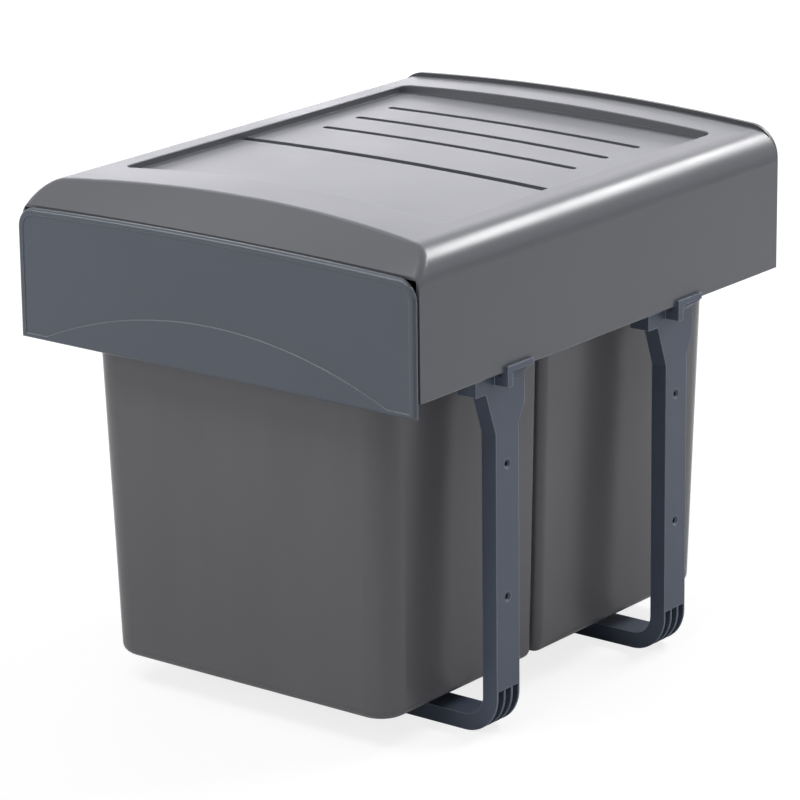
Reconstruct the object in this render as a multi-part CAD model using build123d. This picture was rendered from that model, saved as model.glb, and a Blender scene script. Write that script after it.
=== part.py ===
"""Pull-out waste bin unit: a fixed hood on two U brackets, with two bins on a sliding carrier.

Millimetres. X runs across the unit, the front faces -Y, Z is up and the brackets stand on z = 0.
The origin is the middle of the overall width and depth, at the floor.
"""
import math
import os

from build123d import *

# Hood cover
hood_width = 350.0
hood_depth = 428.0
hood_top = 373.5
hood_height = 107.5
hood_wall = 2.5
crown_drop = 7.0
hood_corner_radius = 22.5
brow_drop_centre = 19.0
brow_drop_side = 22.0
brow_run_centre = 37.5
brow_run_side = 17.0
brow_edge_fillet = 7.0

# Recess in the top of the hood
recess_depth = 7.0
recess_floor_drop = 2.6
recess_side_gap = 34.0
recess_front_gap = 42.5
recess_rear_gap = 35.0
recess_corner_radius = 8.0
recess_edge_fillet = 0.8
groove_end_gap = 27.0
groove_width = 6.5
groove_depth = 2.0
groove_pitch = 39.2
groove_count = 3
last_groove_gap = 54.0
split_groove_width = 8.0
split_groove_depth = 2.8
split_groove_gap = 59.7

# Rear plate
rear_plate_thickness = 3.0
rear_plate_lip = 2.8
rear_plate_inset = 2.0
rear_plate_corner_radius = 23.5
rear_rim_depth = 12.0
rear_rim_thickness = 2.0
rear_rim_corner_gap = 30.0

# Front panel
panel_gap = 2.4
panel_thickness = 3.4
panel_skirt = 10.0
panel_crown_drop = 3.6
panel_top_drop = 0.6
panel_corner_radius = 15.0
panel_edge_radius = 2.2
panel_rim = 4.5
panel_strip = 3.5
panel_relief = 0.6
grip_arc_radius = 375.0
grip_arc_height = 35.4

# U brackets
bracket_depth = 26.0
bracket_inset = 9.0
bracket_leg = 12.4
bracket_bar = 12.0
bracket_corner_radius = 28.0
front_bracket_gap = 95.0
rear_bracket_rear_gap = 103.0
head_gap = 4.0
head_inner_reach = 3.6
front_flare_drop = 42.0
front_flare = 11.0
front_flange_height = 11.5
front_flange_reach = 22.4
rear_flare_drop = 40.0
rear_flare = 7.0
rear_flare_height = 26.0
slot_count = 3
slot_rib = 1.6
slot_depth = 7.0
slot_rise = 5.0
slot_wall = 1.3

# Hook that grips the lower edge of the hood
hook_length = 29.0
hook_drop = 11.0
hook_lip = 2.4
hook_lip_height = 4.0
hook_play = 0.15
hook_slot_drop = 0.5
hook_slot_height = 1.5
hook_slot_depth = 1.4
hook_tab_inset = 0.8
hook_cheek = 5.5
hook_overhang = 5.0

# Tongue inside the hood that carries the rail
tongue_thickness = 5.0
tongue_gap = 0.4
tongue_height = 38.0

# Screw holes in the brackets
side_hole_height = 100.0
side_hole_pitch = 96.0
side_hole_radius = 2.0
side_countersink_radius = 3.5
base_hole_pitch = 128.0
base_hole_radius = 2.25
base_countersink_radius = 4.5

# Telescopic rails
rail_height = 45.0
rail_width = 13.0
rail_sheet = 1.2
rail_front_gap = 14.0
rail_rear_gap = 14.0
outer_ball_radius = 1.95
inner_ball_radius = 1.55
ball_play = 0.05
middle_web_inset = 3.0
middle_reach = 2.0
inner_reach = 6.4
outer_reach = 10.2
cage_sheet = 0.8
cage_length = 200.0
cage_web_sheet = 0.6
cage_ball_play = 0.15
cage_end_margin = 12.0
balls_per_row = 8
buffer_length = 6.0
buffer_play = 0.3

# Carrier frame
carrier_sheet = 2.0
carrier_drop = 43.5
carrier_front_gap = 3.0
carrier_rear_gap = 7.0
carrier_flange_rise = 5.0
carrier_front_flange = 46.0
carrier_bin_play = 1.2
carrier_corner_radius = 20.0

# Bins
bin_floor_gap = 10.0
bin_wall = 2.0
bin_rim_height = 15.0
bin_side_gap = 41.3
bin_front_gap = 14.8
bin_rear_gap = 18.0
bin_split_gap = 194.5
bin_gap = 3.0
bin_draft_angle = 1.49
bin_outer_radius = 21.0
bin_inner_radius = 8.0
bin_base_fillet = 7.0
bin_rim_reach = 7.0
bin_rim_inner_reach = 1.0
bin_rim_wall = 2.0

# Front panel brackets
arm_sheet = 2.0
arm_width = 30.0
arm_side_gap = 85.0
arm_drop = 40.0
arm_rise = 2.0
boss_radius = 4.5

# Screws
screw_radius = 2.0
screw_head_radius = 3.8
screw_head_height = 1.6
screw_hole_play = 0.2
screw_end_gap = 0.4
rail_screw_pitch = 16.0
carrier_screw_margin = 40.0
carrier_screw_count = 3
panel_screw_pitch = 10.0

overrun = 10.0

# Places that follow from the sizes above
half_width = hood_width / 2
hood_base = hood_top - hood_height
brow_front_centre = hood_top - brow_drop_centre
brow_front_side = hood_top - brow_drop_side
recess_floor = hood_top - recess_depth
recess_half_width = half_width - recess_side_gap
panel_base = hood_base - panel_skirt
head_top = hood_base - head_gap
rear_bracket_gap = hood_depth - rear_bracket_rear_gap - bracket_depth
carrier_top = hood_top - carrier_drop
bin_base = bracket_bar + bin_floor_gap
bin_rim_top = carrier_top + bin_rim_height
bin_half_width = half_width - bin_side_gap
arm_offset = half_width - arm_side_gap
overall_depth = panel_thickness + panel_gap + hood_depth + rear_plate_thickness
panel_front = -overall_depth / 2
hood_front = panel_front + panel_thickness + panel_gap
hood_rear = hood_front + hood_depth
crown_radius = (half_width**2 + crown_drop**2) / (2 * crown_drop)
floor_radius = (recess_half_width**2 + recess_floor_drop**2) / (2 * recess_floor_drop)
rail_outer_x = half_width - hood_wall - tongue_gap - tongue_thickness
rail_inner_x = rail_outer_x - rail_width
rail_base = head_top
rail_middle_z = rail_base + rail_height / 2
rail_front = hood_front + rail_front_gap
rail_rear = hood_rear - rail_rear_gap
rail_length = rail_rear - rail_front
carrier_travel = rail_length
leg_outer_x = half_width - bracket_inset
leg_inner_x = leg_outer_x - bracket_leg


def crown_height(x, sink=0):
    """Height of the crowned top at a distance x from the middle, sunk by a wall thickness."""
    return hood_top - crown_radius + math.sqrt((crown_radius - sink) ** 2 - x**2)


def along_y(section, start, end):
    """Extrude a section drawn in X and Z from start to end along Y."""
    return extrude(Plane.XZ.offset(-end) * section, amount=end - start)


def along_x(section, start, end):
    """Extrude a section drawn in Y and Z from start to end along X."""
    return extrude(Plane.YZ.offset(start) * section, amount=end - start)


def along_z(section, start, end):
    """Extrude a section drawn in X and Y from start to end along Z."""
    return extrude(Plane.XY.offset(start) * section, amount=end - start)


def block(x_range, y_range, z_range):
    """Box between two places on each axis."""
    sizes = [end - start for start, end in (x_range, y_range, z_range)]
    centre = [(start + end) / 2 for start, end in (x_range, y_range, z_range)]
    return Pos(*centre) * Box(*sizes)


def mirrored(shape):
    """The same piece on the other side of the middle plane."""
    return mirror(shape, about=Plane.YZ)


def arch_section(half, base, side_top, middle_top, radius):
    """Flat base, upright sides and a crowned top with rounded corners, in X and Z."""
    sides = Polyline((-half, side_top), (-half, base), (half, base), (half, side_top))
    crown = ThreePointArc((half, side_top), (0, middle_top), (-half, side_top))
    face = make_face(sides + crown)
    corners = face.vertices().sort_by(Axis.Y)[-2:]
    return fillet(corners, radius)


# Hood cover
def brow_run(x):
    """How far back the brow meets the crown at x: most in the middle."""
    return brow_run_centre - (brow_run_centre - brow_run_side) * (x / half_width) ** 2


def brow_front_height(x):
    """Height of the brow's front edge at x."""
    return brow_front_centre - (brow_front_centre - brow_front_side) * (x / half_width) ** 2


def space_above_brow(sink=0):
    """Solid over the sloping brow, ruled between its front edge and the arc on the crown."""
    reach = half_width + overrun
    beyond_share = 0.8
    edges = []
    for end_share in (-beyond_share, 1 + beyond_share):
        points = []
        for x in (-reach, 0, reach):
            rise = crown_height(x) - brow_front_height(x)
            y = hood_front + end_share * brow_run(x)
            z = brow_front_height(x) + end_share * rise - sink
            points.append((x, y, z))
        edges.append(ThreePointArc(*points).edge())
    surface = Face.make_surface_from_curves(*edges)
    return extrude(surface, amount=hood_top - hood_base, dir=(0, 0, 1))


def recess_outline(outset):
    """Plan of the recess, with a curved front that runs parallel to the brow."""
    half = recess_half_width + outset
    rear = hood_rear - recess_rear_gap + outset
    front_middle = hood_front + brow_run_centre + recess_front_gap - outset
    front_side = hood_front + brow_run(recess_half_width) + recess_front_gap - outset
    walls = Polyline((half, front_side), (half, rear), (-half, rear), (-half, front_side))
    front = ThreePointArc((-half, front_side), (0, front_middle), (half, front_side))
    face = make_face(walls + front)
    return fillet(face.vertices(), recess_corner_radius + outset)


def space_over_floor(sink):
    """Solid over the arched floor of the recess, or over a surface one sink below it."""
    reach = recess_half_width + hood_wall + overrun
    side = recess_floor - sink - floor_radius + math.sqrt(floor_radius**2 - reach**2)
    top = hood_top + overrun
    walls = Polyline((reach, side), (reach, top), (-reach, top), (-reach, side))
    floor = ThreePointArc((-reach, side), (0, recess_floor - sink), (reach, side))
    return along_y(make_face(walls + floor), hood_front, hood_rear)


def recess_space(sink):
    """Space of the recess, or of its outer skin one sink below and outside it."""
    outline = along_z(recess_outline(sink), hood_base, hood_top + overrun)
    return outline & space_over_floor(sink)


def groove_places():
    """Y of each short groove, from the rear one forwards."""
    rear = hood_rear - recess_rear_gap
    return [rear - last_groove_gap - index * groove_pitch for index in range(groove_count)]


def recess_grooves(outset):
    """Short round-ended grooves and the full-width one, grown by outset for the wall below them."""
    shapes = []
    length = 2 * (recess_half_width - groove_end_gap + outset)
    for y in groove_places():
        slot = SlotOverall(length, groove_width + 2 * outset)
        groove = along_z(Pos(0, y) * slot, hood_base, recess_floor)
        shapes.append(groove & space_over_floor(groove_depth + outset))
    split_y = groove_places()[-1] - split_groove_gap
    y_range = (split_y - split_groove_width / 2 - outset, split_y + split_groove_width / 2 + outset)
    groove = block((-recess_half_width, recess_half_width), y_range, (hood_base, recess_floor))
    shapes.append(groove & space_over_floor(split_groove_depth + outset))
    return shapes


def on_recess_rim(edge):
    """True for an edge between the recess walls and the crown."""
    box = edge.bounding_box()
    across = abs(edge.center().X) <= recess_half_width
    along = hood_front + brow_run_centre < box.min.Y and box.max.Y < hood_rear - recess_rear_gap / 2
    return across and along and box.min.Z > recess_floor


def on_brow_edge(edge):
    """True for a freely curved edge over the brow and its corners, apart from the front one."""
    if edge.geom_type != GeomType.BSPLINE:
        return False
    box = edge.bounding_box()
    over_run = box.max.Y < hood_front + brow_run_centre + overrun
    behind_front = box.max.Y > hood_front
    return over_run and behind_front and box.max.Z > hood_top - hood_corner_radius


def softened_top(outer):
    """Round the brow's edge, from side to side over the crown, and the rim of the recess."""
    outer = fillet(outer.edges().filter_by(on_brow_edge), brow_edge_fillet)
    return fillet(outer.edges().filter_by(on_recess_rim), recess_edge_fillet)


def hood_section(inset, base):
    """Full arch of the hood, or of the surface one inset inside it."""
    half = half_width - inset
    return arch_section(half, base, crown_height(half, inset), hood_top - inset, hood_corner_radius - inset)


def hood_form(inset, base, reach):
    """Hood as a filled solid, or the space inside it, running past both of its ends by reach."""
    return along_y(hood_section(inset, base), hood_front - reach, hood_rear + reach)


def hood_length():
    """Block that ends where the hood does at the front and rear."""
    reach = half_width + overrun
    return block((-reach, reach), (hood_front, hood_rear), (hood_base - overrun, hood_top + overrun))


def hood_cover():
    outer = hood_form(0, hood_base, overrun)
    outer -= space_above_brow()
    outer -= recess_space(0)
    outer = softened_top(outer) & hood_length()
    inner = hood_form(hood_wall, hood_base - overrun, overrun)
    inner -= space_above_brow(hood_wall)
    inner -= recess_space(hood_wall)
    for groove in recess_grooves(hood_wall):
        inner -= groove
    cover = outer - inner
    for groove in recess_grooves(0):
        cover -= groove
    return cover


def rear_plate():
    """Closing plate behind the hood, with a rim that seats inside it."""
    side_top = hood_top - crown_drop + rear_plate_lip
    plate = along_y(arch_section(half_width - rear_plate_inset, hood_base, side_top,
                                 hood_top + rear_plate_lip, rear_plate_corner_radius),
                    hood_rear, hood_rear + rear_plate_thickness)
    rim_x = half_width - hood_wall
    y_range = (hood_rear - rear_rim_depth, hood_rear)
    z_range = (hood_base, hood_top - crown_drop - rear_rim_corner_gap)
    for side in (-1, 1):
        x_range = sorted((side * rim_x, side * (rim_x - rear_rim_thickness)))
        plate += block(x_range, y_range, z_range)
    return plate


# Front panel
def panel_section(inset, base):
    """Outline of the panel, or of the field inside its rim, in X and Z."""
    top_middle = brow_front_centre - panel_top_drop - inset
    side_top = top_middle - panel_crown_drop
    return arch_section(half_width - inset, base, side_top, top_middle, panel_corner_radius - inset)


def panel_field():
    """Sunk field of the face, above the strip along the base and the grip arc."""
    field = panel_section(panel_rim, panel_base + panel_strip)
    return field - Pos(0, panel_base + grip_arc_height - grip_arc_radius) * Circle(grip_arc_radius)


def front_panel():
    rear = panel_front + panel_thickness
    panel = along_y(panel_section(0, panel_base), panel_front, rear)
    front_edges = panel.faces().sort_by(Axis.Y)[0].edges()
    panel = fillet(front_edges, panel_edge_radius)
    panel -= along_y(panel_field(), panel_front - overrun, panel_front + panel_relief)
    for hole in panel_screw_places():
        pilot = Cylinder(screw_radius, arm_boss_length())
        boss = Cylinder(boss_radius, arm_boss_length())
        middle_y = rear + arm_boss_length() / 2
        panel += Pos(hole[0], middle_y, hole[1]) * Rot(90, 0, 0) * boss
        panel -= Pos(hole[0], middle_y, hole[1]) * Rot(90, 0, 0) * pilot
    return panel


def arm_front():
    """Front face of the arms that carry the panel."""
    return hood_front + carrier_front_gap - arm_sheet


def arm_boss_length():
    return arm_front() - (panel_front + panel_thickness)


def arm_base():
    return carrier_top - carrier_sheet - carrier_front_flange - arm_rise


def panel_screw_places():
    """X and Z of the screws that hold the panel to its arms."""
    z = arm_base() - arm_drop / 4
    places = []
    for side in (-1, 1):
        for level in (-1, 1):
            places.append((side * arm_offset, z + level * panel_screw_pitch / 2))
    return places


# U brackets
def bracket_u_section():
    """Two legs and the bar between them, in X and Z."""
    height = head_top
    outer = Pos(0, height) * Rectangle(2 * leg_outer_x, 2 * height)
    outer = fillet(outer.vertices().sort_by(Axis.Y)[:2], bracket_corner_radius)
    inner_height = height - bracket_bar
    inner = Pos(0, height) * Rectangle(2 * leg_inner_x, 2 * inner_height)
    inner = fillet(inner.vertices().sort_by(Axis.Y)[:2], bracket_corner_radius - bracket_leg)
    upper = Pos(0, height + hood_top / 2) * Rectangle(hood_width, hood_top)
    return outer - inner - upper


def bracket_head(front, rear):
    """Widened head of the right leg: a flare and a forward flange in front, a short flare behind."""
    flange_front = front - front_flange_reach
    flange_rear = rear + rear_flare
    flange_base = head_top - front_flange_height
    side = Polyline((front, head_top - front_flare_drop), (front - front_flare, flange_base),
                    (flange_front, flange_base), (flange_front, head_top), (flange_rear, head_top),
                    (flange_rear, head_top - rear_flare_height), (rear, head_top - rear_flare_drop), close=True)
    head = along_x(make_face(side), leg_inner_x, leg_outer_x)
    head += block((leg_inner_x - head_inner_reach, leg_inner_x), (flange_front, flange_rear),
                  (flange_base, head_top))
    return head


def bracket_hook(front, rear):
    """Lip outside the hood wall over a ramped tab, with a cheek in front and the tongue inside the wall."""
    lip_x = half_width + hook_play
    outer_x = lip_x + hook_lip
    inner_x = half_width - hood_wall - tongue_gap
    hook_front = front - (hook_length - bracket_depth) / 2
    hook_rear = hook_front + hook_length
    hook_base = hood_base - hook_drop
    slot_x = outer_x - hook_slot_depth
    slot_top = hood_base - hook_slot_drop
    slot_base = slot_top - hook_slot_height
    lip_top = hood_base + hook_lip_height
    lip = Polyline((inner_x, slot_base), (slot_x, slot_base), (slot_x, slot_top), (outer_x, slot_top),
                   (outer_x, lip_top), (lip_x, lip_top), (lip_x, hood_base), (inner_x, hood_base), close=True)
    tab = Polyline((leg_outer_x, hook_base), (outer_x - hook_tab_inset, slot_base), (inner_x, slot_base),
                   (inner_x, head_top), (leg_outer_x, head_top), close=True)
    cheek = Polyline((leg_outer_x, hook_base), (outer_x, hook_base), (outer_x, slot_top), (inner_x, slot_top),
                     (inner_x, head_top), (leg_outer_x, head_top), close=True)
    hook = along_y(make_face(lip), hook_front, hook_rear)
    hook += along_y(make_face(tab), hook_front, hook_rear - hook_overhang)
    hook += along_y(make_face(cheek), hook_front, hook_front + hook_cheek)
    hook += block((inner_x - tongue_thickness, inner_x), (front, rear), (head_top, head_top + tongue_height))
    return hook


def bracket_corner_slots(front):
    """Three slots round the outer lower corner of the right leg."""
    width = (bracket_depth - 2 * slot_wall - (slot_count - 1) * slot_rib) / slot_count
    centre_x = leg_outer_x - bracket_corner_radius
    centre_z = bracket_corner_radius
    ring = Circle(bracket_corner_radius + overrun) - Circle(bracket_corner_radius - slot_depth)
    quarter = Pos(bracket_corner_radius / 2 + overrun / 2, -bracket_corner_radius / 2) * Rectangle(
        bracket_corner_radius + overrun, bracket_corner_radius + 2 * slot_rise)
    section = Pos(centre_x, centre_z) * (ring & quarter)
    slots = []
    for index in range(slot_count):
        start = front + slot_wall + index * (width + slot_rib)
        slots.append(along_y(section, start, start + width))
    return slots


def countersunk_hole(radius, sink_radius, length):
    """Hole along Z through a wall of the given length, with a countersink at its top end."""
    hole = Cylinder(radius, length + 2 * overrun)
    sink_depth = sink_radius - radius
    cone = Pos(0, 0, length / 2 - sink_depth / 2) * Cone(radius, sink_radius, sink_depth)
    return hole + cone


def u_bracket(gap):
    """Bracket whose front face lies the given gap behind the front edge of the hood."""
    front = hood_front + gap
    rear = front + bracket_depth
    middle_y = (front + rear) / 2
    bracket = along_y(bracket_u_section(), front, rear)
    right_side = bracket_head(front, rear) + bracket_hook(front, rear)
    bracket += right_side
    bracket += mirrored(right_side)
    for slot in bracket_corner_slots(front):
        bracket -= slot
        bracket -= mirrored(slot)
    side_hole = Rot(0, 90, 0) * countersunk_hole(side_hole_radius, side_countersink_radius, bracket_leg)
    for level in range(2):
        z = side_hole_height + level * side_hole_pitch
        hole = Pos((leg_outer_x + leg_inner_x) / 2, middle_y, z) * side_hole
        bracket -= hole
        bracket -= mirrored(hole)
    for side in (-1, 1):
        hole = countersunk_hole(base_hole_radius, base_countersink_radius, bracket_bar)
        bracket -= Pos(side * base_hole_pitch / 2, middle_y, bracket_bar / 2) * hole
    for place in rail_screw_places(gap):
        hole = rail_screw_at(place, 0)
        bracket -= hole
        bracket -= mirrored(hole)
    return bracket


# Telescopic rails, drawn for the right side
def along_screw(radius, length, place, start_x):
    """Cylinder along X from start_x outwards, at a place given as Y and Z."""
    return Pos(start_x + length / 2, place[0], place[1]) * Rot(0, 90, 0) * Cylinder(radius, length)


def rail_screw_places(gap):
    """Y and Z of the two screws that hold a rail to one tongue."""
    middle_y = hood_front + gap + bracket_depth / 2
    return [(middle_y + level * rail_screw_pitch / 2, rail_middle_z) for level in (-1, 1)]


def channel(web_x, lip_x, half_height):
    """Channel section about the rail's mid height: a web at web_x and flanges out to lip_x."""
    web_inner = web_x - rail_sheet if lip_x < web_x else web_x + rail_sheet
    outer_middle = (web_x + lip_x) / 2
    outer = Pos(outer_middle, rail_middle_z) * Rectangle(abs(lip_x - web_x), 2 * half_height)
    inner_middle = (web_inner + lip_x) / 2
    cut_width = abs(lip_x - web_inner)
    inner = Pos(inner_middle, rail_middle_z) * Rectangle(cut_width, 2 * (half_height - rail_sheet))
    return outer - inner


def outer_half_height():
    return rail_height / 2


def middle_half_height():
    return outer_half_height() - rail_sheet - 2 * outer_ball_radius - 2 * ball_play


def inner_half_height():
    return middle_half_height() - rail_sheet - 2 * inner_ball_radius - 2 * ball_play


def outer_rail():
    section = channel(rail_outer_x, rail_outer_x - outer_reach, outer_half_height())
    rail = along_y(section, rail_front, rail_rear + buffer_play + buffer_length)
    for gap in (front_bracket_gap, rear_bracket_gap):
        for place in rail_screw_places(gap):
            rail -= rail_screw_at(place, screw_hole_play)
    return rail


def middle_rail():
    web = rail_outer_x - middle_web_inset
    section = channel(web, rail_inner_x + middle_reach, middle_half_height())
    return along_y(section, rail_front, rail_rear)


def inner_rail():
    section = channel(rail_inner_x, rail_inner_x + inner_reach, inner_half_height())
    rail = along_y(section, rail_front, rail_rear)
    for y in carrier_screw_places():
        rail -= along_screw(screw_radius, rail_sheet, (y, rail_middle_z), rail_inner_x)
    return rail


def cage_start():
    """Front end of the ball cages at rest, from where they reach the rail's front at full travel."""
    return rail_front + carrier_travel / 4


def ball_cage(web_x, strip_end_x, ball_x, ball_z, ball_radius):
    """Sheet strip with a row of ball holes above and below, joined by a web along the rail."""
    start = cage_start()
    end = start + cage_length
    x_range = (min(web_x, strip_end_x), max(web_x, strip_end_x))
    cage = block((web_x - cage_web_sheet / 2, web_x + cage_web_sheet / 2), (start, end),
                 (rail_middle_z - ball_z, rail_middle_z + ball_z))
    for level in (-1, 1):
        z = rail_middle_z + level * ball_z
        cage += block(x_range, (start, end), (z - cage_sheet / 2, z + cage_sheet / 2))
    drill = Cylinder(ball_radius + cage_ball_play, 2 * ball_z + overrun)
    for y in ball_places():
        cage -= Pos(ball_x, y, rail_middle_z) * drill
    return cage


def ball_places():
    """Y of the balls in a row."""
    start = cage_start() + cage_end_margin
    pitch = (cage_length - 2 * cage_end_margin) / (balls_per_row - 1)
    return [start + index * pitch for index in range(balls_per_row)]


def ball_rows(ball_x, ball_z, ball_radius):
    """Balls above and below, each a solid of its own."""
    balls = []
    for level in (-1, 1):
        for y in ball_places():
            balls.append(Pos(ball_x, y, rail_middle_z + level * ball_z) * Sphere(ball_radius))
    return balls


def outer_ball_height():
    return outer_half_height() - rail_sheet - outer_ball_radius - ball_play


def inner_ball_height():
    return middle_half_height() - rail_sheet - inner_ball_radius - ball_play


def outer_ball_x():
    return rail_outer_x - rail_width / 2


def inner_ball_x():
    return (rail_inner_x + middle_reach + rail_inner_x + inner_reach) / 2


def outer_cage():
    web = rail_outer_x - (rail_sheet + middle_web_inset) / 2
    end = rail_outer_x - outer_reach + rail_sheet
    return ball_cage(web, end, outer_ball_x(), outer_ball_height(), outer_ball_radius)


def inner_cage():
    middle_inner = rail_outer_x - middle_web_inset - rail_sheet
    web = (middle_inner + rail_inner_x + inner_reach) / 2
    end = rail_inner_x + middle_reach
    return ball_cage(web, end, inner_ball_x(), inner_ball_height(), inner_ball_radius)


def rail_buffer():
    """Soft stop that fills the rear end of the outer rail, behind the middle rail."""
    half = outer_half_height() - rail_sheet
    return block((rail_outer_x - outer_reach, rail_outer_x - rail_sheet),
                 (rail_rear + buffer_play, rail_rear + buffer_play + buffer_length),
                 (rail_middle_z - half, rail_middle_z + half))


# Carrier frame
def carrier_front():
    return hood_front + carrier_front_gap


def carrier_rear():
    return hood_rear - carrier_rear_gap


def carrier_opening():
    """Opening that both bins hang in."""
    half = bin_half_width + carrier_bin_play
    front = hood_front + bin_front_gap - carrier_bin_play
    rear = hood_rear - bin_rear_gap + carrier_bin_play
    opening = Pos(0, (front + rear) / 2) * Rectangle(2 * half, rear - front)
    return fillet(opening.vertices(), carrier_corner_radius)


def bin_carrier():
    """Pressed frame: a flat top ring with turned-down flanges at the sides, front and rear."""
    y_range = (carrier_front(), carrier_rear())
    x_range = (-rail_inner_x, rail_inner_x)
    frame = block(x_range, y_range, (carrier_top - carrier_sheet, carrier_top))
    frame -= along_z(carrier_opening(), carrier_top - carrier_sheet, carrier_top)
    flange_base = rail_base + carrier_flange_rise
    for side in (-1, 1):
        flange_x = sorted((side * rail_inner_x, side * (rail_inner_x - carrier_sheet)))
        frame += block(flange_x, y_range, (flange_base, carrier_top))
    front_base = carrier_top - carrier_sheet - carrier_front_flange
    frame += block(x_range, (carrier_front(), carrier_front() + carrier_sheet), (front_base, carrier_top))
    frame += block(x_range, (carrier_rear() - carrier_sheet, carrier_rear()), (front_base, carrier_top))
    for y in carrier_screw_places():
        hole = along_screw(screw_radius + screw_hole_play, carrier_sheet, (y, rail_middle_z),
                           rail_inner_x - carrier_sheet)
        frame -= hole
        frame -= mirrored(hole)
    for x, z in arm_screw_places():
        drill = Cylinder(screw_radius, carrier_sheet)
        frame -= Pos(x, carrier_front() + carrier_sheet / 2, z) * Rot(90, 0, 0) * drill
    return frame


def carrier_screw_places():
    """Y of the screws between the carrier and an inner rail."""
    start = rail_front + carrier_screw_margin
    pitch = (rail_length - 2 * carrier_screw_margin) / (carrier_screw_count - 1)
    return [start + index * pitch for index in range(carrier_screw_count)]


# Arms that carry the front panel
def arm_screw_places():
    """X and Z of the screws that hold the arms to the carrier."""
    z = carrier_top - carrier_front_flange / 2
    return [(side * arm_offset + level * arm_width / 4, z) for side in (-1, 1) for level in (-1, 1)]


def panel_arm(side):
    """Flat plate from the carrier's front flange down to the panel's bosses."""
    x = side * arm_offset
    plate = block((x - arm_width / 2, x + arm_width / 2), (arm_front(), carrier_front()),
                  (arm_base() - arm_drop / 2, carrier_top - carrier_sheet))
    for hole_x, z in panel_screw_places() + arm_screw_places():
        if side * hole_x > 0:
            drill = Cylinder(screw_radius + screw_hole_play, arm_sheet)
            plate -= Pos(hole_x, (arm_front() + carrier_front()) / 2, z) * Rot(90, 0, 0) * drill
    return plate


# Screws
def screw(length):
    """Round-head screw along Z: the shank goes up from z = 0, with the head below it."""
    shank = Pos(0, 0, length / 2) * Cylinder(screw_radius, length)
    head = Pos(0, 0, -screw_head_height / 2) * Cylinder(screw_head_radius, screw_head_height)
    return shank + head


def countersunk_screw(length, play):
    """Screw along Z whose flat head ends level with z = 0."""
    sink_depth = screw_head_radius - screw_radius
    shank = Pos(0, 0, length / 2) * Cylinder(screw_radius + play, length)
    head = Pos(0, 0, sink_depth / 2) * Cone(screw_head_radius + play, screw_radius + play, sink_depth)
    return shank + head


def rail_screw_at(place, play):
    """Screw from inside the outer rail into a tongue, at a place given as Y and Z."""
    length = rail_sheet + tongue_thickness
    turned = Rot(0, 90, 0) * countersunk_screw(length, play)
    return Pos(rail_outer_x - rail_sheet, place[0], place[1]) * turned


def rail_screws():
    """Screws from inside each outer rail into the tongues, their heads level with its web."""
    screws = []
    for gap in (front_bracket_gap, rear_bracket_gap):
        for place in rail_screw_places(gap):
            piece = rail_screw_at(place, 0)
            screws += [piece, mirrored(piece)]
    return screws


def carrier_screws():
    """Screws from inside the carrier into each inner rail."""
    length = carrier_sheet + rail_sheet
    screws = []
    for y in carrier_screw_places():
        piece = Pos(rail_inner_x - carrier_sheet, y, rail_middle_z) * Rot(0, 90, 0) * screw(length)
        screws += [piece, mirrored(piece)]
    return screws


def arm_screws():
    """Screws through the arms into the carrier's front flange."""
    length = arm_sheet + carrier_sheet
    return [Pos(x, arm_front(), z) * Rot(-90, 0, 0) * screw(length) for x, z in arm_screw_places()]


def panel_screws():
    """Screws from behind the arms into the panel's bosses."""
    length = arm_sheet + arm_boss_length() - screw_end_gap
    return [Pos(x, carrier_front(), z) * Rot(90, 0, 0) * screw(length) for x, z in panel_screw_places()]


# Bins
def bin_plan(front, rear, half, front_radius, rear_radius):
    """Rounded rectangle with its own corner radius at each end."""
    plan = Pos(0, (front + rear) / 2) * Rectangle(2 * half, rear - front)
    plan = fillet(plan.vertices().sort_by(Axis.Y)[:2], front_radius)
    return fillet(plan.vertices().sort_by(Axis.Y)[-2:], rear_radius)


def bin_body(inset, base, front_end, outer_end):
    """Tapered body: the sides and the outer end lean in towards the base, the inner end is upright."""
    slope = math.tan(math.radians(bin_draft_angle))
    sections = []
    for z in (base, bin_rim_top):
        lean = slope * (carrier_top - z)
        half = bin_half_width - lean - inset
        outer_radius = bin_outer_radius - inset
        inner_radius = bin_inner_radius - inset
        if front_end:
            plan = bin_plan(outer_end + lean + inset, inner_end(True) - inset, half, outer_radius, inner_radius)
        else:
            plan = bin_plan(inner_end(False) + inset, outer_end - lean - inset, half, inner_radius, outer_radius)
        sections.append(Plane.XY.offset(z) * plan)
    return loft(sections, ruled=True)


def inner_end(front_end):
    """Y of a bin's upright inner end, half a gap from the split."""
    middle = hood_front + bin_split_gap
    return middle - bin_gap / 2 if front_end else middle + bin_gap / 2


def waste_bin(front_end):
    """Open bin whose rim rests on the carrier."""
    outer_end = hood_front + bin_front_gap if front_end else hood_rear - bin_rear_gap
    body = bin_body(0, bin_base, front_end, outer_end)
    body = fillet(body.faces().sort_by(Axis.Z)[0].edges(), bin_base_fillet)
    hollow = bin_body(bin_wall, bin_base + bin_wall, front_end, outer_end)
    hollow = fillet(hollow.faces().sort_by(Axis.Z)[0].edges(), bin_base_fillet - bin_wall)
    rim = bin_rim(front_end, outer_end, 0) - bin_rim(front_end, outer_end, bin_rim_wall)
    return body + rim - hollow


def bin_rim(front_end, outer_end, inset):
    """Turned-down rim: the space inside it, cut from the same block, leaves its top and skirt."""
    half = bin_half_width + bin_rim_reach - inset
    outer_radius = bin_outer_radius + bin_rim_reach - inset
    inner_radius = bin_inner_radius
    end_reach = bin_rim_inner_reach - inset
    if front_end:
        plan = bin_plan(outer_end - bin_rim_reach + inset, inner_end(True) + end_reach,
                        half, outer_radius, inner_radius)
    else:
        plan = bin_plan(inner_end(False) - end_reach, outer_end + bin_rim_reach - inset,
                        half, inner_radius, outer_radius)
    return along_z(plan, carrier_top - inset, bin_rim_top - inset)


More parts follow.
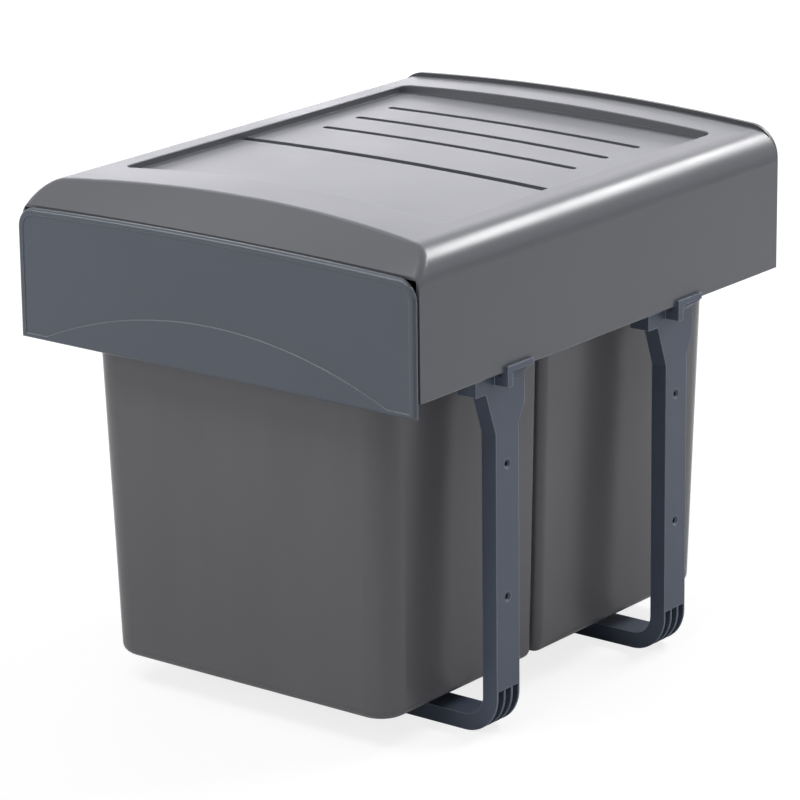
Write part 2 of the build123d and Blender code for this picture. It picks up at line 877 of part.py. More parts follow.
# Write one file for each node
def write(name, pieces):
    """Write a node's solids to its own file."""
    solids = []
    for piece in pieces if isinstance(pieces, list) else [pieces]:
        solids += list(piece.solids())
    node = solids[0] if len(solids) == 1 else Compound(children=solids)
    node.label = name
    export_step(node, os.path.join("parts", name + ".step"))


def write_pair(name, pieces):
    """Write the right piece and its mirror image on the left."""
    pieces = pieces if isinstance(pieces, list) else [pieces]
    write(name + "_right", pieces)
    write(name + "_left", [mirrored(piece) for piece in pieces])


def main():
    os.makedirs("parts", exist_ok=True)
    write("hood_cover", hood_cover())
    write("rear_plate", rear_plate())
    write("front_panel", front_panel())
    write("front_bracket", u_bracket(front_bracket_gap))
    write("rear_bracket", u_bracket(rear_bracket_gap))
    write_pair("outer_rail", outer_rail())
    write_pair("middle_rail", middle_rail())
    write_pair("inner_rail", inner_rail())
    write_pair("outer_cage", outer_cage())
    write_pair("inner_cage", inner_cage())
    write_pair("outer_balls", ball_rows(outer_ball_x(), outer_ball_height(), outer_ball_radius))
    write_pair("inner_balls", ball_rows(inner_ball_x(), inner_ball_height(), inner_ball_radius))
    write_pair("rail_buffer", rail_buffer())
    write("bin_carrier", bin_carrier())
    write("panel_arm_right", panel_arm(1))
    write("panel_arm_left", panel_arm(-1))
    write("rail_screws", rail_screws())
    write("carrier_screws", carrier_screws())
    write("arm_screws", arm_screws())
    write("panel_screws", panel_screws())
    write("front_bin", waste_bin(True))
    write("rear_bin", waste_bin(False))


main()
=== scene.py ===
# %% [markdown]
# # A pull-out waste bin unit, dressed in Blender
# The unit is a fixed hood on two U brackets. Two bins hang under it in a carrier that runs out on
# telescopic rails, behind a front panel. The shapes come from a CAD model, loaded here as a fixed
# frame, so this lesson is about finishes, small repeated parts, light and the camera.

import math

import bmesh
import bpy
from mathutils import Matrix, Vector


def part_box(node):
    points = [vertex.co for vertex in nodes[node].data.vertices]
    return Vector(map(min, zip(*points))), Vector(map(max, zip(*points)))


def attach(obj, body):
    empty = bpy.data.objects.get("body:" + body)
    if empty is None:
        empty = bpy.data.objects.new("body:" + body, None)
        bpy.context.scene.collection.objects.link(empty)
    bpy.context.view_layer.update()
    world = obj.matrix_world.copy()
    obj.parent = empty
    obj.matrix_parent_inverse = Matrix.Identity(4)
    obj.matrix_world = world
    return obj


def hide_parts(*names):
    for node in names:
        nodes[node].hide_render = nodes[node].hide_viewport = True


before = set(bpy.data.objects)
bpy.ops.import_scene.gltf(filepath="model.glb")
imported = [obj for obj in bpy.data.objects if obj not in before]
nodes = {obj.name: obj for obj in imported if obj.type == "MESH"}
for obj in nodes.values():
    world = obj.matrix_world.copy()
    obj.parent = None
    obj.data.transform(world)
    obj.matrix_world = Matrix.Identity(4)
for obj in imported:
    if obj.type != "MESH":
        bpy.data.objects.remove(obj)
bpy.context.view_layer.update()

# %% [markdown]
# ## The camera
# The photograph was taken from the front right, a little above the hood, with a long lens: parallel
# edges hardly converge. A camera could be placed by eye, but a pinhole camera fitted to the picture's
# edges gives the place of the lens, the direction that it looks in and its focal length. The camera
# is built from those numbers.

# %% Place the camera
lens_place = Vector((1.77533, -2.28267, 1.05759))
heading, pitch, roll = (math.radians(angle) for angle in (38.0, 16.765, -0.671))
sensor_width_mm, focal_length_mm = 36, 187.66
unit_height = 0.376

backward = Vector((math.sin(heading) * math.cos(pitch), -math.cos(heading) * math.cos(pitch),
                   math.sin(pitch)))
level_right = Vector((math.cos(heading), math.sin(heading), 0))
level_up = backward.cross(level_right)
right = math.cos(roll) * level_right + math.sin(roll) * level_up
up = math.cos(roll) * level_up - math.sin(roll) * level_right

camera_data = bpy.data.cameras.new("photo_camera")
camera_data.sensor_width = sensor_width_mm
camera_data.lens = focal_length_mm
camera = bpy.data.objects.new("photo_camera", camera_data)
turn = Matrix((right, up, backward)).transposed().to_4x4()
camera.matrix_world = Matrix.Translation(lens_place) @ turn
bpy.context.scene.collection.objects.link(camera)
bpy.context.scene.camera = camera
camera_distance = (lens_place - Vector((0, 0, unit_height / 2))).length
print("camera distance from the unit in metres:", round(camera_distance, 3))

# %% [markdown]
# ## Helpers for materials
# A material is a small graph of nodes. One helper adds a node with its settings and links, and one
# turns a colour written as a hex value, the way a paint chart gives it, into the linear numbers that
# the shader works with. Three more add what nearly every finish here needs: a noise of a known size,
# a change of a value's range, and a blend of two colours.

# %% Helpers: nodes, colours and materials
mm = 0.001


def linear(hex_value):
    """sRGB hex value to linear RGBA: a straight line for the darkest tones, then a power."""
    parts = [int(hex_value[i:i + 2], 16) / 255 for i in (1, 3, 5)]
    return [p / 12.92 if p <= 0.04045 else ((p + 0.055) / 1.055) ** 2.4 for p in parts] + [1]


def add(tree, kind, links=None, inputs=None, **settings):
    """Add a node, set its properties and socket values, and link other nodes' outputs to its sockets."""
    node = tree.nodes.new(kind)
    for key, value in settings.items():
        setattr(node, key, value)
    for key, value in (inputs or {}).items():
        node.inputs[key].default_value = value
    for key, socket in (links or {}).items():
        tree.links.new(socket, node.inputs[key])
    return node


def new_material(name, **shader_values):
    """An empty material with one Principled shader; returns the material, its tree and the shader."""
    material = bpy.data.materials.new(name)
    material.use_nodes = True
    tree = material.node_tree
    shader = tree.nodes["Principled BSDF"]
    for key, value in shader_values.items():
        shader.inputs[key.replace("_", " ")].default_value = value
    return material, tree, shader


print("anthracite in linear numbers:", [round(v, 3) for v in linear("#5A5C61")])

# %% Helpers: noise, range and blend
def noise(tree, place, size_mm, detail, roughness=0.5):
    """Grey noise with patches of about the given size."""
    scale = 1 / (size_mm * mm)
    node = add(tree, "ShaderNodeTexNoise", {"Vector": place},
               {"Scale": scale, "Detail": detail, "Roughness": roughness})
    return node.outputs["Fac"]


def change_range(tree, value, old, new):
    """Map a value from the old range to the new one, and hold it at the ends."""
    node = add(tree, "ShaderNodeMapRange", {"Value": value},
               {"From Min": old[0], "From Max": old[1], "To Min": new[0], "To Max": new[1]})
    return node.outputs["Result"]


def blend(tree, factor, first, second):
    """The first colour where the factor is 0, the second where it is 1: each a value or an output."""
    node = add(tree, "ShaderNodeMix", {"Factor": factor}, data_type="RGBA")
    for name, colour in (("A", first), ("B", second)):
        if isinstance(colour, list):
            node.inputs[name].default_value = colour
        else:
            tree.links.new(colour, node.inputs[name])
    return node.outputs["Result"]


print("patches of 1 mm need a noise of scale", round(1 / mm))

# %% [markdown]
# ## Satin moulded ABS for the hood
# The hood is one large injection moulding in an anthracite grey. Its mould was spark-eroded, which
# leaves a fine even grain: it breaks up reflections, so the flat top shines softly at a low angle and
# the rounded shoulder carries a broad bright band. The grain could be real geometry, but a noise at
# grain size, fed through a Bump node, costs nothing and looks the same. A much larger and weaker noise
# varies the colour as real mouldings do. A Bevel node softens the light on the edges, because no
# moulded edge is perfectly sharp. Where that soft normal leans away from the flat one there is an
# edge, and there a lighter tone can be mixed in: a painted highlight, for the light an edge catches.

# %% Helper: painted edge highlights
lean_on_face, lean_on_edge = 0.985, 0.88


def painted_edge_highlight_mask(tree, soft_normal, amount):
    """Painted-highlight mask: up to the amount at an edge and 0 on a flat face, from how the soft normal
    leans.
    """
    flat = add(tree, "ShaderNodeNewGeometry").outputs["True Normal"]
    lean = add(tree, "ShaderNodeVectorMath", {0: soft_normal, 1: flat}, operation="DOT_PRODUCT")
    return change_range(tree, lean.outputs["Value"], (lean_on_face, lean_on_edge), (0.0, amount))


lean_degrees = math.degrees(math.acos(lean_on_face))
print("an edge starts where the normals are", round(lean_degrees, 1), "degrees apart")

# %% Helper: grained plastic
plastic_ior = 1.54
gloss_change = 0.03
grain_strength = 0.35
usual_noise = (0.3, 0.7)  # a noise seldom leaves this range


def grained_plastic(name, light_tone, dark_tone, roughness, grain_mm, grain_height_mm, patch_mm,
                    edge_mm=0.0, edge_highlight_tone=None, edge_highlight_amount=0.0):
    """Moulded plastic: a slow change of tone and gloss, an even grain, soft edges and a painted edge
    highlight if asked for.
    """
    material, tree, shader = new_material(name, Roughness=roughness, IOR=plastic_ior)
    place = add(tree, "ShaderNodeTexCoord").outputs["Object"]
    patches = noise(tree, place, patch_mm, detail=2.0)
    colour = blend(tree, patches, linear(dark_tone), linear(light_tone))
    gloss = change_range(tree, patches, usual_noise, (roughness - gloss_change, roughness + gloss_change))
    grain = noise(tree, place, grain_mm, detail=1.0, roughness=0.4)
    bump = add(tree, "ShaderNodeBump", {"Height": grain},
               {"Strength": grain_strength, "Distance": grain_height_mm * mm})
    if edge_mm > 0:
        soft_normal = add(tree, "ShaderNodeBevel", inputs={"Radius": edge_mm * mm}).outputs["Normal"]
        tree.links.new(soft_normal, bump.inputs["Normal"])
        # A lighter tone mixed in at the edges: a painted highlight, standing in for light caught by the
        # edge.
        if edge_highlight_tone:
            colour = blend(tree, painted_edge_highlight_mask(tree, soft_normal, edge_highlight_amount), colour, linear(edge_highlight_tone))
    tree.links.new(colour, shader.inputs["Base Color"])
    tree.links.new(gloss, shader.inputs["Roughness"])
    tree.links.new(bump.outputs["Normal"], shader.inputs["Normal"])
    return material


print("gloss varies by", gloss_change, "of roughness either way")

# %% Material: the three ABS mouldings
# The real grain is about 0.1 mm; 0.6 mm is the finest that shows at this size.
hood_abs = grained_plastic(
    "hood_abs_spark_eroded", "#5A5C61", "#55575C", roughness=0.34,
    grain_mm=0.6, grain_height_mm=0.03, patch_mm=90, edge_mm=0.5)
# The panel's lighter edge tone is a painted highlight.
panel_abs = grained_plastic(
    "panel_abs_gloss", "#4A525D", "#444C57", roughness=0.22,
    grain_mm=0.8, grain_height_mm=0.01, patch_mm=120, edge_mm=0.6, edge_highlight_tone="#B4BAC1", edge_highlight_amount=0.5)
rear_abs = grained_plastic(
    "rear_plate_abs", "#3A3D40", "#36383C", roughness=0.40,
    grain_mm=0.6, grain_height_mm=0.03, patch_mm=90, edge_mm=0.5)
print("plastics:", hood_abs.name, panel_abs.name, rear_abs.name)

# %% [markdown]
# ## Glass-filled nylon for the brackets
# The brackets carry the whole load, so they are moulded from nylon with glass fibre: a slate blue,
# with a duller and slightly cloudy surface, because the fibres lie close under the skin. The grained
# plastic makes it too. Its patches of tone are only 14 mm wide here, which reads as that cloudiness,
# and its edges carry a painted highlight over a wider strip than the panel's.

# %% Material: glass-filled nylon
# The lighter tone on the bracket edges is a painted highlight.
bracket_nylon = grained_plastic(
    "bracket_glass_filled_nylon", "#495363", "#434C5B", roughness=0.48,
    grain_mm=0.7, grain_height_mm=0.05, patch_mm=14, edge_mm=1.0, edge_highlight_tone="#B4BDC9", edge_highlight_amount=0.7)
print("bracket material:", bracket_nylon.name)

# %% [markdown]
# ## Glossy polypropylene for the bins
# The bins come out of a polished mould. They are glossy, but the walls cool unevenly and are never
# quite flat, so reflections waver along the height. Bending the mesh would change the shape, so a
# wide, very low bump does it instead. A second noise, stretched upwards, draws the faint flow lines
# that the plastic leaves as it fills the mould.

# %% Material: glossy polypropylene
upward_stretch = (1, 1, 0.15)
flow_mm = 40
wave_mm, wave_height_mm, wave_strength = 45, 0.8, 0.5
bin_polypropylene, tree, shader = new_material("bin_polypropylene_moulded", Roughness=0.26, IOR=1.49)
place = add(tree, "ShaderNodeTexCoord").outputs["Object"]
upright = add(tree, "ShaderNodeMapping", {"Vector": place}, {"Scale": upward_stretch}).outputs["Vector"]
flow = noise(tree, upright, flow_mm, detail=3.0)
tree.links.new(blend(tree, flow, linear("#565558"), linear("#5E5D60")), shader.inputs["Base Color"])
waves = noise(tree, upright, wave_mm, detail=0.0)
bump = add(tree, "ShaderNodeBump", {"Height": waves},
           {"Strength": wave_strength, "Distance": wave_height_mm * mm})
tree.links.new(bump.outputs["Normal"], shader.inputs["Normal"])
print("bin material:", bin_polypropylene.name)

# %% [markdown]
# ## Zinc-plated steel and bearing steel
# The running gear shows when the drawer is out. The rails are rolled steel with a bright zinc plate:
# metallic, with faint rolling lines along their length. An image of brushed metal would do, but noise
# that is stretched along the rail draws those lines at any size, both in the gloss and in a very low
# bump. The balls are polished and nearly mirror-like.

# %% Helper: drawn metal
metal_gloss_change = 0.08
line_strength, line_height_mm = 0.2, 0.02
line_noise = (0.35, 0.65)  # a narrower range than usual, so the lines stand out


def drawn_metal(name, tone, roughness, line_mm, stretch):
    """Metal with fine lines: the noise is stretched along the axes with a small scale."""
    material, tree, shader = new_material(
        name, Base_Color=linear(tone), Metallic=1.0, Roughness=roughness)
    place = add(tree, "ShaderNodeTexCoord").outputs["Object"]
    stretched = add(tree, "ShaderNodeMapping", {"Vector": place}, {"Scale": stretch}).outputs["Vector"]
    lines = noise(tree, stretched, line_mm, detail=3.0)
    gloss = change_range(tree, lines, line_noise,
                         (roughness - metal_gloss_change, roughness + metal_gloss_change))
    bump = add(tree, "ShaderNodeBump", {"Height": lines},
               {"Strength": line_strength, "Distance": line_height_mm * mm})
    tree.links.new(gloss, shader.inputs["Roughness"])
    tree.links.new(bump.outputs["Normal"], shader.inputs["Normal"])
    return material


print("lines in metal are", line_height_mm, "mm high")

# %% Material: metals
along_the_rail, even = (1, 0.02, 1), (1, 1, 1)
rail_zinc = drawn_metal("rail_zinc_plated_steel", "#B9BBBC", 0.32, line_mm=0.8, stretch=along_the_rail)
screw_zinc = drawn_metal("screw_zinc_plated_steel", "#C2C3C2", 0.28, line_mm=0.5, stretch=even)
ball_steel = drawn_metal("ball_polished_bearing_steel", "#C8CACC", 0.12, line_mm=0.4, stretch=even)
print("metals:", rail_zinc.name, screw_zinc.name, ball_steel.name)

# %% [markdown]
# ## Powder coat, acetal and rubber
# The carrier is pressed steel with a powder coat, which flows into a shallow orange peel as it bakes.
# The ball cages are natural acetal, a milky plastic that slides well, and the soft stops are rubber.
# All three are the grained plastic from above, with other tones and other sizes of grain, because an
# orange peel, a milky sheen and dull rubber differ only in those.

# %% Material: coatings and small plastics
carrier_coat = grained_plastic(
    "carrier_grey_powder_coat", "#8B8F94", "#85898E", roughness=0.42,
    grain_mm=1.6, grain_height_mm=0.06, patch_mm=60)
cage_acetal = grained_plastic(
    "cage_natural_acetal", "#D8D6CE", "#D0CEC6", roughness=0.38,
    grain_mm=0.8, grain_height_mm=0.02, patch_mm=30)
buffer_rubber = grained_plastic(
    "buffer_soft_rubber", "#232325", "#1E1E20", roughness=0.7,
    grain_mm=0.6, grain_height_mm=0.05, patch_mm=12)
print("coatings:", carrier_coat.name, cage_acetal.name, buffer_rubber.name)

# %% [markdown]
# ## Give each CAD node its finish
# A CAD node keeps its mesh. Only its material changes, by filling its material slots. The screws and
# balls aren't listed, because finer pieces take their places below.

# %% Assign the finishes
finishes = {
    "hood_cover": hood_abs, "rear_plate": rear_abs, "front_panel": panel_abs,
    "front_bracket": bracket_nylon, "rear_bracket": bracket_nylon,
    "front_bin": bin_polypropylene, "rear_bin": bin_polypropylene, "bin_carrier": carrier_coat,
}
for side in ("right", "left"):
    for rail in ("outer_rail", "middle_rail", "inner_rail"):
        finishes[rail + "_" + side] = rail_zinc
    finishes["outer_cage_" + side] = cage_acetal
    finishes["inner_cage_" + side] = cage_acetal
    finishes["rail_buffer_" + side] = buffer_rubber
    finishes["panel_arm_" + side] = screw_zinc
for name, material in finishes.items():
    slots = nodes[name].data.materials
    slots.clear()
    slots.append(material)
print("finished nodes:", len(finishes), "of", len(nodes))

# %% [markdown]
# ## Where the small parts sit
# The CAD screws are plain solids. Finer ones must sit in exactly the same places. Those could be typed
# in, but reading them from the frame can't go wrong: each solid of a node is an island of joined
# triangles, and its box gives the place and the length of one screw. A direction from the head to the
# tip completes it.

# %% Helper: the box of each solid
def solid_boxes(node):
    """Lowest and highest corner of each separate solid in a CAD node."""
    solids = bmesh.new()
    solids.from_mesh(nodes[node].data)
    bmesh.ops.remove_doubles(solids, verts=solids.verts, dist=0.001 * mm)
    boxes, waiting = [], set(solids.verts)
    while waiting:
        island, edge_of_search = set(), [waiting.pop()]
        while edge_of_search:
            corner = edge_of_search.pop()
            island.add(corner)
            reached = {edge.other_vert(corner) for edge in corner.link_edges} & waiting
            waiting -= reached
            edge_of_search.extend(reached)
        low = Vector([min(corner.co[i] for corner in island) for i in range(3)])
        high = Vector([max(corner.co[i] for corner in island) for i in range(3)])
        boxes.append((low, high))
    solids.free()
    return sorted(boxes, key=lambda box: tuple(box[0]))


print("rail screws in the frame:", len(solid_boxes("rail_screws")))

# %% Read the places from the frame
def outwards(middle):
    """Direction away from the middle plane."""
    return Vector((math.copysign(1, middle.x), 0, 0))


def rearwards(middle):
    """Direction to the rear, for a screw that is driven from the front."""
    return Vector((0, 1, 0))


def forwards(middle):
    """Direction to the front, for a screw that is driven from behind."""
    return Vector((0, -1, 0))


def head_places(node, direction):
    """Middle of each head's face, the direction of its screw and the screw's length."""
    places = []
    for low, high in solid_boxes(node):
        middle = (low + high) / 2
        axis = direction(middle)
        length = abs((high - low).dot(axis))
        places.append((middle - axis * length / 2, axis, length))
    return places


for node, direction in (("carrier_screws", outwards), ("arm_screws", rearwards)):
    found = head_places(node, direction)
    print(node, len(found), "screws of", round(found[0][2] / mm, 2), "mm")

# %% [markdown]
# ## A geometry-nodes tree and its inputs
# Screws and balls repeat, so geometry nodes make them: a tree has named inputs for its sizes, copies
# one part onto a set of points, and ends in a plain mesh. A loop in Python could copy a mesh too, but
# a tree can be opened in Blender and its sizes changed there. These helpers make an empty tree with
# its inputs, run it once on a mesh of points, and keep the result as an ordinary mesh that rides on a
# body.

# %% Helpers: start and end a tree
def new_tree(name, sizes):
    """Geometry tree with a geometry input, one number input for each size and a material input."""
    tree = bpy.data.node_groups.new(name, "GeometryNodeTree")
    tree.interface.new_socket("Geometry", in_out="INPUT", socket_type="NodeSocketGeometry")
    for size, default in sizes.items():
        kind = "NodeSocketInt" if isinstance(default, int) else "NodeSocketFloat"
        tree.interface.new_socket(size, in_out="INPUT", socket_type=kind).default_value = default
    tree.interface.new_socket("Material", in_out="INPUT", socket_type="NodeSocketMaterial")
    tree.interface.new_socket("Geometry", in_out="OUTPUT", socket_type="NodeSocketGeometry")
    given = tree.nodes.new("NodeGroupInput").outputs
    return tree, given


def input_names(tree):
    """Names of a tree's inputs."""
    return [item.name for item in tree.interface.items_tree if item.in_out == "INPUT"]


def end_tree(tree, given, instances):
    """Make the copies real, give them their material and send them out."""
    real = add(tree, "GeometryNodeRealizeInstances", {"Geometry": instances})
    dressed = add(tree, "GeometryNodeSetMaterial",
                  {"Geometry": real.outputs[0], "Material": given["Material"]})
    add(tree, "NodeGroupOutput", {0: dressed.outputs[0]})


print("a geometry tree's sizes become its inputs")

# %% Helper: a piece grown by a tree
def grown_piece(name, tree, points, axes, values, body, replaced):
    """Run the tree on the points, keep its result as a plain mesh and let it ride on a body."""
    mesh = bpy.data.meshes.new(name)
    mesh.from_pydata(points, [], [])
    axis_layer = mesh.attributes.new("axis", "FLOAT_VECTOR", "POINT")
    for index, axis in enumerate(axes):
        axis_layer.data[index].vector = axis
    piece = bpy.data.objects.new(name, mesh)
    bpy.context.scene.collection.objects.link(piece)
    modifier = piece.modifiers.new(name, "NODES")
    modifier.node_group = tree
    for socket in tree.interface.items_tree:
        if socket.in_out == "INPUT" and socket.name in values:
            modifier[socket.identifier] = values[socket.name]
    bpy.context.view_layer.update()
    grown = piece.evaluated_get(bpy.context.evaluated_depsgraph_get())
    piece.data = bpy.data.meshes.new_from_object(grown)
    piece.modifiers.clear()
    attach(piece, body)
    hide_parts(*replaced)
    print(name, "faces:", len(piece.data.polygons), "on", body)


print("each piece prints its faces and its body")

# %% [markdown]
# ## Screws with a cross recess and a thread
# Each screw is a head, a shank and a thread. The head is a short cone: wider at its face, it is the
# countersunk head of the rail screws, and wider at its seat, the pan head of the others. Two crossed
# blocks cut the recess that the driver turns. The thread is a spiral swept with a three-sided
# section. A real thread is cut into the shank, but at this size nobody sees the difference.

# %% Helpers: sums and shifts inside a tree
def arithmetic(tree, operation, first, second):
    """One sum of two sockets or numbers inside a tree."""
    node = add(tree, "ShaderNodeMath", operation=operation)
    for index, term in enumerate((first, second)):
        if isinstance(term, (int, float)):
            node.inputs[index].default_value = term
        else:
            tree.links.new(term, node.inputs[index])
    return node.outputs[0]


def raised(tree, mesh, height):
    """Move a mesh up by a height."""
    shift = add(tree, "ShaderNodeCombineXYZ", {"Z": height})
    moved = add(tree, "GeometryNodeTransform", {"Geometry": mesh, "Translation": shift.outputs[0]})
    return moved.outputs[0]


print("a tree's sums take sockets or numbers")

# %% Helpers: the parts of a screw
head_corners, shank_corners = 48, 32
arm_per_radius, slot_per_radius, depth_per_height = 1.1, 0.26, 1.3
thread_corners_per_turn, thread_sides = 16, 3


def screw_head(tree, given):
    """Cone from the face to the seat, with the cross recess cut into its face."""
    cone = add(tree, "GeometryNodeMeshCone", {
        "Radius Bottom": given["Face Radius"], "Radius Top": given["Seat Radius"],
        "Depth": given["Head Height"]}, {"Vertices": head_corners})
    arm = arithmetic(tree, "MULTIPLY", given["Face Radius"], arm_per_radius)
    slot = arithmetic(tree, "MULTIPLY", given["Face Radius"], slot_per_radius)
    depth = arithmetic(tree, "MULTIPLY", given["Head Height"], depth_per_height)
    cut = add(tree, "GeometryNodeMeshBoolean", {"Mesh 1": cone.outputs["Mesh"]}, operation="DIFFERENCE")
    for across, along in ((arm, slot), (slot, arm)):
        size = add(tree, "ShaderNodeCombineXYZ", {"X": across, "Y": along, "Z": depth})
        blade = add(tree, "GeometryNodeMeshCube", {"Size": size.outputs[0]})
        tree.links.new(blade.outputs["Mesh"], cut.inputs["Mesh 2"])
    return cut.outputs["Mesh"]


def screw_thread(tree, given, start, length):
    """Three-sided section swept along a spiral over the shank."""
    turns = arithmetic(tree, "DIVIDE", length, given["Pitch"])
    radius = arithmetic(tree, "SUBTRACT", given["Shank Radius"], given["Thread Depth"])
    spiral = add(tree, "GeometryNodeCurveSpiral", {
        "Rotations": turns, "Start Radius": radius, "End Radius": radius, "Height": length},
        {"Resolution": thread_corners_per_turn})
    section = add(tree, "GeometryNodeCurvePrimitiveCircle", {"Radius": given["Thread Depth"]},
                  {"Resolution": thread_sides})
    swept = add(tree, "GeometryNodeCurveToMesh", {
        "Curve": spiral.outputs[0], "Profile Curve": section.outputs[0]}, {"Fill Caps": True})
    return raised(tree, swept.outputs[0], start)


print("a head, a shank and a thread make one screw")

# %% Tree: one screw on each point
pan_head = {"Face Radius": 3.2 * mm, "Seat Radius": 3.8 * mm, "Head Height": 1.6 * mm}
screw_tree, sizes = new_tree("threaded_screw", {
    **pan_head, "Shank Radius": 2.0 * mm, "Length": 5 * mm, "Pitch": 0.8 * mm, "Thread Depth": 0.3 * mm})
head = screw_head(screw_tree, sizes)
shank_length = arithmetic(screw_tree, "SUBTRACT", sizes["Length"], sizes["Head Height"])
core = arithmetic(screw_tree, "SUBTRACT", sizes["Shank Radius"], sizes["Thread Depth"])
shank = add(screw_tree, "GeometryNodeMeshCone", {
    "Radius Bottom": core, "Radius Top": core, "Depth": shank_length}, {"Vertices": shank_corners})
whole = add(screw_tree, "GeometryNodeJoinGeometry")
for part in (head, raised(screw_tree, shank.outputs["Mesh"], sizes["Head Height"]),
             screw_thread(screw_tree, sizes, sizes["Head Height"], shank_length)):
    screw_tree.links.new(part, whole.inputs[0])
axis = add(screw_tree, "GeometryNodeInputNamedAttribute", inputs={"Name": "axis"},
           data_type="FLOAT_VECTOR")
turned = add(screw_tree, "FunctionNodeAlignRotationToVector", {"Vector": axis.outputs["Attribute"]},
             axis="Z")
copies = add(screw_tree, "GeometryNodeInstanceOnPoints", {
    "Points": sizes["Geometry"], "Instance": whole.outputs[0], "Rotation": turned.outputs[0]})
end_tree(screw_tree, sizes, copies.outputs[0])
print("screw tree inputs:", input_names(screw_tree))

# %% [markdown]
# ## Put the screws in
# The same tree makes all four sets, because only their head and length differ. The rail screws get a
# countersunk head, because the rails run past them; the others get a pan head. Each set becomes one
# mesh that rides on the body it fastens.

# %% Make the four sets of screws
countersunk_head = {"Face Radius": 3.8 * mm, "Seat Radius": 2.0 * mm, "Head Height": 1.8 * mm}
screw_sets = {
    "rail_screws": ("base", outwards, countersunk_head),
    "carrier_screws": ("carrier", outwards, pan_head),
    "arm_screws": ("carrier", rearwards, pan_head),
    "panel_screws": ("carrier", forwards, pan_head),
}
for node, (body, direction, head_sizes) in screw_sets.items():
    places, axes, lengths = zip(*head_places(node, direction))
    values = dict(head_sizes, Length=lengths[0], Material=screw_zinc)
    grown_piece("threaded_" + node, screw_tree, places, axes, values, body,
                [node])

# %% [markdown]
# ## Rows of bearing balls
# A telescopic rail runs on rows of balls, eight above and eight below in each cage. Each ball could be
# a point of its own, but a mesh line makes one row from its start point, and the tree copies a round
# ball onto every point of it. The pitch and the radius are measured on the CAD balls, so the new ones
# fill the holes of the cages exactly.

# %% Tree: a row of balls from each start point
balls_per_row = 8
ball_subdivisions = 4
ball_tree, sizes = new_tree("ball_row", {"Count": balls_per_row, "Pitch": 25 * mm, "Ball Radius": 2 * mm})
step = add(ball_tree, "ShaderNodeCombineXYZ", {"Y": sizes["Pitch"]})
line = add(ball_tree, "GeometryNodeMeshLine", {"Count": sizes["Count"], "Offset": step.outputs[0]})
ball = add(ball_tree, "GeometryNodeMeshIcoSphere", {"Radius": sizes["Ball Radius"]},
           {"Subdivisions": ball_subdivisions})
round_ball = add(ball_tree, "GeometryNodeSetShadeSmooth", {"Geometry": ball.outputs["Mesh"]},
                 {"Shade Smooth": True})
row = add(ball_tree, "GeometryNodeInstanceOnPoints", {
    "Points": line.outputs[0], "Instance": round_ball.outputs[0]})
rows = add(ball_tree, "GeometryNodeInstanceOnPoints", {
    "Points": sizes["Geometry"], "Instance": row.outputs[0]})
end_tree(ball_tree, sizes, rows.outputs[0])
print("ball tree inputs:", input_names(ball_tree))

# %% Make the balls of each pair of cages
for cage in ("outer", "inner"):
    replaced = [cage + "_balls_" + side for side in ("right", "left")]
    starts = []
    for node in replaced:
        low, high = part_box(node)
        radius = (high[0] - low[0]) / 2
        for z in (low[2] + radius, high[2] - radius):
            starts.append((low[0] + radius, low[1] + radius, z))
    pitch = (high[1] - low[1] - 2 * radius) / (balls_per_row - 1)
    values = {"Count": balls_per_row, "Pitch": pitch, "Ball Radius": radius, "Material": ball_steel}
    grown_piece(cage + "_bearing_balls", ball_tree, starts, [(0, 1, 0)] * len(starts), values,
                cage + "_cages", replaced)

# %% [markdown]
# ## Floor
# The photograph is cut out on white. A floor of plain white light would lose the shadow that ties the
# unit to the ground, and a painted floor alone turns grey towards the horizon. So the floor is a matt
# pale paint, and what the camera sees of it is mixed with plain white: partly near the unit, which
# keeps a soft shadow there, and wholly further out, where it meets the background without a seam.

# %% Build the floor
reach = 12.0
gap_under_unit = 0.2 * mm
white_near, white_far = 0.7, 1.0
fade_start, fade_end = 0.6, 1.8
white_strength = 1.15

floor_mesh = bpy.data.meshes.new("studio_floor")
corners = [(-reach, -reach, 0), (reach, -reach, 0), (reach, reach, 0), (-reach, reach, 0)]
floor_mesh.from_pydata(corners, [], [(0, 1, 2, 3)])
floor = bpy.data.objects.new("studio_floor", floor_mesh)
floor.location.z = -gap_under_unit
bpy.context.scene.collection.objects.link(floor)
print("floor side in metres:", 2 * reach)

# %% Paint the floor
paint, tree, shader = new_material("floor_matt_white", Roughness=0.9, Base_Color=linear("#F4F4F4"))
camera_ray = add(tree, "ShaderNodeLightPath").outputs["Is Camera Ray"]
place = add(tree, "ShaderNodeTexCoord").outputs["Object"]
distance = add(tree, "ShaderNodeVectorMath", {0: place}, operation="LENGTH").outputs["Value"]
share = change_range(tree, distance, (fade_start, fade_end), (white_near, white_far))
shown = add(tree, "ShaderNodeMath", {0: camera_ray, 1: share}, operation="MULTIPLY").outputs[0]
glow = add(tree, "ShaderNodeEmission", inputs={"Color": (1, 1, 1, 1), "Strength": white_strength})
mixed = add(tree, "ShaderNodeMixShader", {0: shown, 1: shader.outputs[0], 2: glow.outputs[0]})
tree.links.new(mixed.outputs[0], tree.nodes["Material Output"].inputs["Surface"])
floor_mesh.materials.append(paint)
print("floor paint:", paint.name)

# %% [markdown]
# ## Light
# The photograph has the light of a studio: soft boxes in front and at the right, two wide panels
# behind the unit, which the satin top mirrors, and a narrow one higher up that draws the bright band
# along the rounded shoulder. A picture of a studio around the scene could light it too, but a few area
# lights can be moved one by one until each highlight falls where the photograph has it.

# %% Light the studio
target = Vector((0, 0, 0.3))
top_height = 0.36


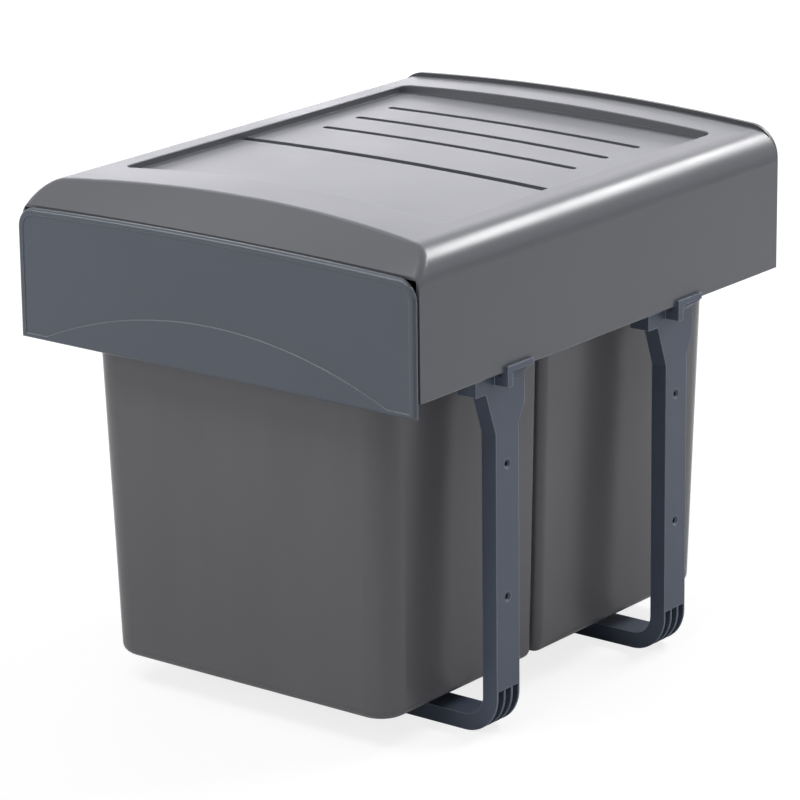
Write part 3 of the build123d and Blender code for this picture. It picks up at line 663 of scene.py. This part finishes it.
def soft_box(name, place, width, height, power, tint="#FFFFFF"):
    """Rectangular area light that faces the unit and isn't seen by the camera itself."""
    data = bpy.data.lights.new(name, "AREA")
    data.shape = "RECTANGLE"
    data.size = width
    data.size_y = height
    data.energy = power
    data.color = linear(tint)[:3]
    lamp = bpy.data.objects.new(name, data)
    lamp.location = place
    lamp.rotation_euler = (target - Vector(place)).to_track_quat("-Z", "Y").to_euler()
    lamp.visible_camera = False
    bpy.context.scene.collection.objects.link(lamp)


def around(azimuth, elevation, distance=3.0):
    """Place at a distance from the top of the hood: azimuth 0 is behind the unit, 90 at its right."""
    turned, lifted = math.radians(azimuth), math.radians(elevation)
    level = distance * math.cos(lifted)
    return Vector((level * math.sin(turned), level * math.cos(turned),
                   top_height + distance * math.sin(lifted)))


soft_box("front_overhead_box", (-0.3, -1.4, 2.6), width=2.4, height=1.2, power=37)
soft_box("front_left_box", (-1.8, -2.5, 1.2), width=1.4, height=1.4, power=24)
soft_box("right_back_box", (2.4, 1.5, 1.3), width=1.4, height=1.4, power=4, tint="#DCE6FF")
soft_box("low_back_panel", around(-40, 7), width=2.4, height=0.4, power=10, tint="#F7F5FF")
soft_box("high_back_panel", around(-25, 27), width=3.4, height=0.4, power=15, tint="#F7F5FF")
soft_box("shoulder_box", around(20, 37), width=1.7, height=0.4, power=58)

# %% [markdown]
# ## The world behind the studio
# The world is a dim grey that fills the shadows. What the camera sees straight, in a mirror-like
# reflection or through glass, is plain white instead, so the background is the photograph's white
# without any more light on the object.

# %% Build the world
fill_strength, background_strength = 0.18, 1.0
world = bpy.data.worlds.new("studio_world")
bpy.context.scene.world = world
world.use_nodes = True
sky = world.node_tree
sky.nodes.clear()
ray = add(sky, "ShaderNodeLightPath").outputs
seen = add(sky, "ShaderNodeMath", {0: ray["Is Camera Ray"], 1: ray["Is Glossy Ray"]},
           operation="MAXIMUM")
seen = add(sky, "ShaderNodeMath", {0: seen.outputs[0], 1: ray["Is Transmission Ray"]},
           operation="MAXIMUM")
fill = add(sky, "ShaderNodeBackground", inputs={"Color": linear("#E8EAEE"), "Strength": fill_strength})
white = add(sky, "ShaderNodeBackground",
            inputs={"Color": (1, 1, 1, 1), "Strength": background_strength})
mixed = add(sky, "ShaderNodeMixShader", {0: seen.outputs[0], 1: fill.outputs[0], 2: white.outputs[0]})
add(sky, "ShaderNodeOutputWorld", {"Surface": mixed.outputs[0]})
bpy.context.scene.view_settings.view_transform = "Standard"
print("world:", world.name, "view:", bpy.context.scene.view_settings.view_transform)
